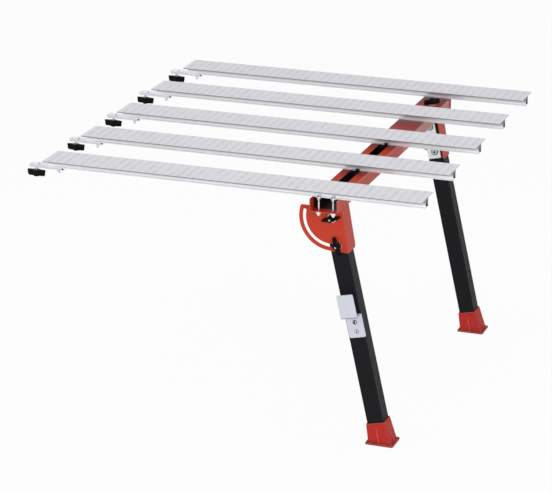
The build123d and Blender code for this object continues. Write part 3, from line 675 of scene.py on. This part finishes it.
def seam(y, width):
    """Joint line round the beam, a thin closed frame just outside its skin."""
    shape = bmesh.new()
    corner = BEAM_CORNER
    half_x = (TUBE_HIGH.x - TUBE_LOW.x) / 2 + LINE_THICK
    half_z = (TUBE_HIGH.z - TUBE_LOW.z) / 2 + LINE_THICK
    loops = []
    for shift, inward in ((0, 0), (width, 0), (width, 0.4 * MM), (0, 0.4 * MM)):
        row = []
        for k in range(16):
            angle = math.tau * (k + 0.5) / 16
            dx, dz = math.cos(angle), math.sin(angle)
            x = math.copysign(half_x - corner, dx) + (corner - inward) * dx
            z = math.copysign(half_z - corner, dz) + (corner - inward) * dz
            row.append(shape.verts.new((BEAM_MID.x + x, y + shift, BEAM_MID.z + z)))
        loops.append(row)
    for row, after in zip(loops, loops[1:] + loops[:1]):
        for k in range(16):
            shape.faces.new((row[k - 1], after[k - 1], after[k], row[k]))
    return shape


def fin(start, end, outward, width, proud):
    """Moulded rib along a wall from start to end, set half a millimetre into it."""
    shape = bmesh.new()
    across = (end - start).cross(outward).normalized() * (width / 2)
    inner, outer = outward * (-0.5 * MM), outward * proud
    rings = []
    for point, depth in ((start, outer), (end, outer * 0.5)):
        rings.append([shape.verts.new(point + side * across + lift)
                      for side, lift in ((-1, inner), (1, inner), (0.7, depth), (-0.7, depth))])
    for k in range(4):
        shape.faces.new((rings[0][k - 1], rings[1][k - 1], rings[1][k], rings[0][k]))
    for row in rings:
        shape.faces.new(row)
    return shape


def wing_grip(top, half_long, half_wide, tip, tall):
    """Grip over the two wings of a knob that hangs down from the top point, along X."""
    shape = bmesh.new()
    plan = []
    for side in (1, -1):
        for k in range(7):
            angle = side * math.pi * (k / 6 - 0.5)
            plan.append((side * (half_long - tip + tip * abs(math.cos(angle))),
                         tip * math.sin(angle)))
        plan.append((0.0, side * half_wide))
    rings = []
    for drop, draw_in, slim in ((0.0, 0.0, 1.0), (tall - 2 * MM, 1.8 * MM, 1.0),
                                (tall - 0.6 * MM, 2.6 * MM, 0.86), (tall, 4.0 * MM, 0.6)):
        squeeze = (half_long - draw_in) / half_long
        rings.append([shape.verts.new(top + Vector((x * squeeze, y * slim, -drop)))
                      for x, y in plan])
    for row, after in zip(rings, rings[1:]):
        for k in range(len(plan)):
            shape.faces.new((row[k - 1], after[k - 1], after[k], row[k]))
    shape.faces.new(rings[0])
    shape.faces.new(rings[-1])
    return shape


def weld_bead(start, end, radius):
    """A run of overlapping ripples along a straight joint."""
    shape = bmesh.new()
    along = end - start
    side = along.orthogonal().normalized()
    lift = along.cross(side).normalized()
    ripples = max(4, round(along.length / (1.4 * radius)))
    steps = 6 * ripples
    rows = []
    for i in range(steps + 1):
        swell = 0.82 + 0.18 * abs(math.sin(math.pi * i / 6))
        taper = min(1.0, 0.4 + min(i, steps - i) / 5)
        r = radius * swell * taper
        middle_point = start + along * (i / steps)
        rows.append([shape.verts.new(middle_point + r * (side * math.cos(a) + lift * math.sin(a)))
                     for a in (math.tau * k / 10 for k in range(10))])
    for row, after in zip(rows, rows[1:]):
        for k in range(10):
            shape.faces.new((row[k - 1], after[k - 1], after[k], row[k]))
    shape.faces.new(rows[0])
    shape.faces.new(rows[-1])
    return shape


# ---------------------------------------------------------------- stage
class BENCH_OT_stage(bpy.types.Operator):
    """Lays the floor and sets the lamps, the world and the camera"""

    bl_idname = "bench.stage"
    bl_label = "Stage"

    def execute(self, context):
        scene = context.scene
        scene.view_settings.view_transform = "Standard"
        self.lay_floor(scene)
        self.light_world(scene)
        for name, place, size, power in (
            ("key_lamp", (3.0, -5.5, 2.1), 3.0, 200.0),
            ("fill_lamp", (-4.0, -3.0, 3.0), 4.0, 50.0),
            ("top_lamp", (0.0, 0.5, 5.0), 4.0, 56.0),
        ):
            lamp = bpy.data.lights.new(name, "AREA")
            lamp.shape = "SQUARE"
            lamp.size = size
            lamp.energy = power
            holder = bpy.data.objects.new(name, lamp)
            holder.location = place
            aim = LAMP_AIM - Vector(place)
            holder.rotation_mode = "QUATERNION"
            holder.rotation_quaternion = aim.to_track_quat("-Z", "Y")
            scene.collection.objects.link(holder)

        eye = bpy.data.cameras.new("camera")
        eye.sensor_width = 36.0
        eye.lens = EYE_LENS
        eye.clip_end = 60.0
        holder = bpy.data.objects.new("camera", eye)
        holder.location = EYE_PLACE
        holder.rotation_euler = (math.radians(90 - EYE_DOWN), 0.0, math.radians(EYE_TURN))
        scene.collection.objects.link(holder)
        scene.camera = holder
        return {"FINISHED"}

    def seen_white(self, tree):
        """1 for what the camera sees, directly, in a reflection or through glass."""
        path = put(tree, "ShaderNodeLightPath").node
        seen = path.outputs["Is Camera Ray"]
        for ray in ("Is Glossy Ray", "Is Transmission Ray"):
            seen = put(tree, "ShaderNodeMath", {0: seen, 1: path.outputs[ray]}, operation="MAXIMUM")
        return seen

    def lay_floor(self, scene):
        reach = scene.bench_sizes.floor_reach
        shape = bmesh.new()
        shape.faces.new([shape.verts.new((x * reach, y * reach, 0.0)) for x, y in
                         ((-1, -1), (1, -1), (1, 1), (-1, 1))])
        mesh = bpy.data.meshes.new("floor")
        shape.to_mesh(mesh)
        shape.free()
        floor = bpy.data.objects.new("floor", mesh)
        scene.collection.objects.link(floor)
        mat, tree = new_material("pale_floor")
        matt = put(tree, "ShaderNodeBsdfDiffuse", {"Color": (0.9, 0.9, 0.9, 1)})
        white = put(tree, "ShaderNodeEmission", {"Color": (1, 1, 1, 1), "Strength": 1.0})
        share = put(tree, "ShaderNodeMath", {0: self.seen_white(tree), 1: 0.94},
                    operation="MULTIPLY")
        mix = put(tree, "ShaderNodeMixShader", {0: share, 1: matt, 2: white})
        put(tree, "ShaderNodeOutputMaterial", {"Surface": mix})
        mesh.materials.append(mat)

    def light_world(self, scene):
        world = bpy.data.worlds.new("studio")
        scene.world = world
        world.use_nodes = True
        tree = world.node_tree
        tree.nodes.clear()
        light = put(tree, "ShaderNodeBackground", {"Color": (0.95, 0.98, 1.0, 1), "Strength": 0.45})
        white = put(tree, "ShaderNodeBackground", {"Color": (1, 1, 1, 1), "Strength": 1.0})
        mix = put(tree, "ShaderNodeMixShader", {0: self.seen_white(tree), 1: light, 2: white})
        put(tree, "ShaderNodeOutputWorld", {"Surface": mix})


# ---------------------------------------------------------------- the object's pieces
class BENCH_OT_slats(bpy.types.Operator):
    """Finishes the slats"""

    bl_idname = "bench.slats"
    bl_label = "Slats"

    def execute(self, context):
        for i in SLATS:
            dress("bar_%d" % i, "anodised_slat")
        return {"FINISHED"}


class BENCH_OT_clamps(bpy.types.Operator):
    """Finishes the bench clamps: arms, bolts and wing knobs"""

    bl_idname = "bench.clamps"
    bl_label = "Clamps"

    def execute(self, context):
        sizes = context.scene.bench_sizes
        for i in SLATS:
            arm, bolt, knob = ("clamp_%s_%d" % (piece, i) for piece in ("arm", "bolt", "knob"))
            dress(arm, "zinc_plate")
            dress(bolt, "threaded_zinc")
            dress("clamp_screw_%d" % i, "zinc_plate")
            dress(knob, "black_nylon")
            low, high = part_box(knob)
            # The grip stays just inside the top and the ends of the knob's box.
            top = Vector((middle(knob).x, middle(knob).y, high.z - 0.2 * MM))
            half_long = (high.x - low.x) / 2 - 0.3 * MM
            grip = wing_grip(top, half_long, GRIP_HALF, GRIP_TIP, sizes.clamp_grip)
            add_piece("clamp_grip_%d" % i, grip, knob, "black_nylon")
            low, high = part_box(arm)
            radius = MARK_SHARE * (high.z - low.z)
            spot = Vector((high.x - MARK_IN * radius, low.y, middle(arm).z))
            mark = plug(spot, (0, -1, 0), radius, DARK_THICK, sides=16)
            add_piece("arm_mark_%d" % i, mark, arm, "black_oxide_and_shade")
        return {"FINISHED"}


class BENCH_OT_beam(bpy.types.Operator):
    """Finishes the cross beam, its cap, knob and slat bolts, and draws its joints"""

    bl_idname = "bench.beam"
    bl_label = "Beam"

    def execute(self, context):
        sizes = context.scene.bench_sizes
        dress("beam_front", "red_powder_coat")
        dress("beam_rear", "red_gloss_coat")
        dress("beam_end_cap", "red_nylon")
        dress("beam_knob", "black_nylon")
        dress("beam_sleeve", "black_oxide_and_shade")
        for node in ("beam_knob_washer", "bar_1_pins"):
            dress(node, "bright_zinc")
        for node in ("beam_knob_bolt", "bar_5_pins", "bar_4_bolt"):
            dress(node, "zinc_plate")
        self.crown_knob()
        self.fit_studs()
        self.draw_seams(sizes.seam_width)
        self.mark_side()
        return {"FINISHED"}

    def crown_knob(self):
        """Dome between the wings of the knob."""
        low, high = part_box("beam_knob")
        tall = 0.62 * (high.z - low.z)
        dome = ((0, 0), (DOME_FOOT, 0), (DOME_FOOT, 0.5 * tall), (DOME_SHOULDER, 0.85 * tall),
                (DOME_TOP, tall), (0, tall))
        seat = Vector((middle("beam_knob").x, middle("beam_knob").y, low.z))
        add_piece("beam_knob_dome", turned(dome, seat, UP), "beam_knob", "black_nylon")

    def fit_studs(self):
        """The studs of the two sliding slats, with a washer at each."""
        for i in (2, 3):
            node = "bar_%d_studs" % i
            dress(node, "black_oxide_and_shade")
            low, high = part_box(node)
            for side, y in (("near", low.y + STUD_IN), ("far", high.y - STUD_IN)):
                seat = Vector((middle(node).x, y, SLAT_LOW.z + FLANGE_THICK))
                washer = ring(seat, UP, WASHER_BORE, WASHER_EDGE, WASHER_THICK)
                add_piece("bar_%d_%s_washer" % (i, side), washer, node, "bright_zinc")

    def draw_seams(self, width):
        """Where the two sections meet, and where the cap meets the tube."""
        add_piece("joint_seam", seam(TUBE_LOW.y, width), "beam_rear", "black_oxide_and_shade")
        add_piece("cap_seam", seam(TUBE_HIGH.y - width, width), "beam_rear", "black_oxide_and_shade")

    def mark_side(self):
        """Dark spots on the tube's side, taken for the cap's two catches, and a painted shadow spot
        at slat 4.
        """
        back, top, low = TUBE_HIGH.y - CATCH_IN, TUBE_HIGH.z - SPOT_DROP, TUBE_LOW.z + CATCH_IN
        under_slat_4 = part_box("bar_4")[0].y + SLAT_SHADOW_IN
        for name, y, z in (("cap_catch_top", back, top), ("cap_catch_low", back, low),
                           ("slat_shadow_spot", under_slat_4, top)):
            spot = Vector((TUBE_HIGH.x, y, z))
            shape = plug(spot, (1, 0, 0), SPOT_RADIUS, DARK_THICK, sides=16)
            add_piece(name, shape, "beam_rear", "black_oxide_and_shade")


class BENCH_OT_legs(bpy.types.Operator):
    """Finishes the legs: brackets, tubes, plates, bolts, knobs and feet"""

    bl_idname = "bench.legs"
    bl_label = "Legs"

    def execute(self, context):
        sizes = context.scene.bench_sizes
        for end, out in ENDS.items():
            dress(end + "_leg_bracket", "red_powder_coat")
            dress(end + "_leg_tube", "black_powder_coat")
            dress(end + "_leg_foot", "red_nylon")
            dress(end + "_leg_back_plate", "zinc_plate")
            dress(end + "_leg_washers", "bright_zinc")
            for pair in ("pivot", "lock"):
                self.dress_bolt(sizes, end + "_leg_" + pair, out)
            self.weld_bracket(sizes, end)
            self.shade_washers(end, out)
            self.rib_foot(sizes, end)
        dress("leg_hook", "hook_powder_coat")
        dress("leg_hook_screws", "zinc_plate")
        self.mark_hook_screws(sizes)
        return {"FINISHED"}

    def mark_hook_screws(self, sizes):
        """A dark socket in each of the two heads, painted shade of its recess, and the painted
        shadow gap round it.
        """
        low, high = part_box("leg_hook_screws")
        upper = Vector((low.x + HOOK_HEAD, low.y, high.z - HOOK_HEAD))
        lower = Vector((high.x - HOOK_HEAD, low.y, low.z + HOOK_HEAD))
        for name, head, size in (("upper", upper, 0.9), ("lower", lower, 0.55)):
            socket = plug(head, (0, -1, 0), size * sizes.socket, SHALLOW, sides=6)
            add_piece("hook_%s_socket" % name, socket, "leg_hook_screws", "black_oxide_and_shade")
            seat = head + Vector((0, HOOK_HEAD_TALL, 0))
            gap = ring(seat, (0, -1, 0), HOOK_HEAD, HOOK_HEAD + size * 1.2 * MM, DARK_THICK)
            add_piece("hook_%s_gap" % name, gap, "leg_hook_screws", "black_oxide_and_shade")

    def dress_bolt(self, sizes, name, out):
        """A bolt with its knob outside the bracket and its head inside the leg."""
        bolt, knob = name + "_bolt", name + "_knob"
        dress(bolt, "zinc_plate")
        dress(knob, "black_nylon")
        axis = middle(bolt)
        low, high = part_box(knob)
        face = Vector((axis.x, high.y if out > 0 else low.y, axis.z))
        add_piece(name + "_collar", collar(face, (0, out, 0), KNOB_BORE, sizes.collar), knob,
                  "black_nylon")
        low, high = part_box(bolt)
        tip = Vector((axis.x, high.y if out > 0 else low.y, axis.z))
        centre = plug(tip, (0, out, 0), radius=1.4 * MM, thick=0.1 * MM, sides=12)
        add_piece(name + "_centre", centre, bolt, "black_oxide_and_shade")
        head = Vector((axis.x, low.y if out > 0 else high.y, axis.z))
        radius = (high.x - low.x) / 2
        seat = head + Vector((0, out * HEAD_TALL, 0))
        # A dark ring at the seat of the head is painted shadow of the gap under it, and the dark hex
        # disc in the head is painted shade of its socket.
        shadow_gap_wide, line_in, line_wide = 2.2 * MM, sizes.socket + 1.8 * MM, 1.2 * MM
        gap = ring(seat, (0, -out, 0), radius, radius + shadow_gap_wide, DARK_THICK)
        add_piece(name + "_head_shadow_gap", gap, bolt, "black_oxide_and_shade")
        socket = plug(head, (0, -out, 0), sizes.socket, SHALLOW, sides=6)
        add_piece(name + "_socket", socket, bolt, "black_oxide_and_shade")
        line = ring(head, (0, -out, 0), line_in, line_in + line_wide, LINE_THICK)
        add_piece(name + "_head_line", line, bolt, "black_oxide_and_shade")

    def shade_washers(self, end, out):
        """Painted shade on the middle of each washer under a wing knob."""
        washers = end + "_leg_washers"
        low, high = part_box(washers)
        face = high.y if out > 0 else low.y
        for pair in ("pivot", "lock"):
            axis = middle(end + "_leg_%s_bolt" % pair)
            spot = Vector((axis.x, face, axis.z))
            shaded_middle = ring(spot, (0, out, 0), SHADED_BORE, SHADED_EDGE, SHALLOW)
            add_piece("%s_%s_washer_dish" % (end, pair), shaded_middle, washers, "black_oxide_and_shade")

    def rib_foot(self, sizes, end):
        """A moulded rib up the middle of each side of the boot."""
        foot = end + "_leg_foot"
        low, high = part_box(foot)
        centre = (low + high) / 2
        boot_top = Vector((centre.x - BOOT_TALL * math.sin(LEAN), centre.y,
                           BOOT_TALL * math.cos(LEAN)))
        base = Vector((centre.x, centre.y, SHOE_THICK))
        along = Vector((math.cos(LEAN), 0, math.sin(LEAN)))
        sides = {"near": ((0, -1, 0), (0, -1, 0)), "far": ((0, 1, 0), (0, 1, 0)),
                 "out": ((1, 0, 0), along), "in": ((-1, 0, 0), -along)}
        for name, (flat, leant) in sides.items():
            flat, leant = Vector(flat), Vector(leant)
            start = base + Vector((flat.x * BOOT_LOW.x, flat.y * BOOT_LOW.y, 0))
            stop = boot_top + leant * BOOT_HIGH
            shape = fin(start, start.lerp(stop, 0.8), leant, sizes.foot_rib, 0.4 * sizes.foot_rib)
            add_piece("%s_foot_rib_%s" % (end, name), shape, foot, "red_nylon")

    def weld_bracket(self, sizes, end):
        """Beads between the roof of the bracket and the underside of the beam."""
        low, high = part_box(end + "_leg_bracket")
        under = RAIL_LOW.z - 0.4 * sizes.weld
        side = middle(end + "_leg_pivot_bolt").x + WELD_OUT
        for k, (start, stop) in enumerate(BEADS):
            ends = [Vector((side, low.y + (high.y - low.y) * t, under)) for t in (start, stop)]
            # The beads take the near black as painted shade of the line where the bracket meets the
            # beam.
            add_piece("%s_weld_%d" % (end, k + 1), weld_bead(ends[0], ends[1], sizes.weld),
                      end + "_leg_bracket", "black_oxide_and_shade")


class BENCH_PT_panel(bpy.types.Panel):
    """Lists the steps and their settings"""

    bl_idname = "BENCH_PT_panel"
    bl_label = "Bench Extension"
    bl_space_type = "VIEW_3D"
    bl_region_type = "UI"
    bl_category = "Bench Extension"

    def draw(self, context):
        for group in (context.scene.bench_finishes, context.scene.bench_sizes):
            box = self.layout.box()
            for name in group.__annotations__:
                box.prop(group, name)
        for step in STEPS:
            self.layout.operator(step.bl_idname)


STEPS = (BENCH_OT_stage, BENCH_OT_slats, BENCH_OT_clamps, BENCH_OT_beam, BENCH_OT_legs)
CLASSES = (BENCH_PG_finishes, BENCH_PG_sizes) + STEPS + (BENCH_PT_panel,)


def register():
    for one in CLASSES:
        bpy.utils.register_class(one)
    bpy.types.Scene.bench_finishes = bpy.props.PointerProperty(type=BENCH_PG_finishes)
    bpy.types.Scene.bench_sizes = bpy.props.PointerProperty(type=BENCH_PG_sizes)


def unregister():
    del bpy.types.Scene.bench_sizes
    del bpy.types.Scene.bench_finishes
    for one in reversed(CLASSES):
        bpy.utils.unregister_class(one)


def main():
    register()
    for step in STEPS:
        group, name = step.bl_idname.split(".")
        getattr(getattr(bpy.ops, group), name)()


if __name__ == "__main__":
    main()
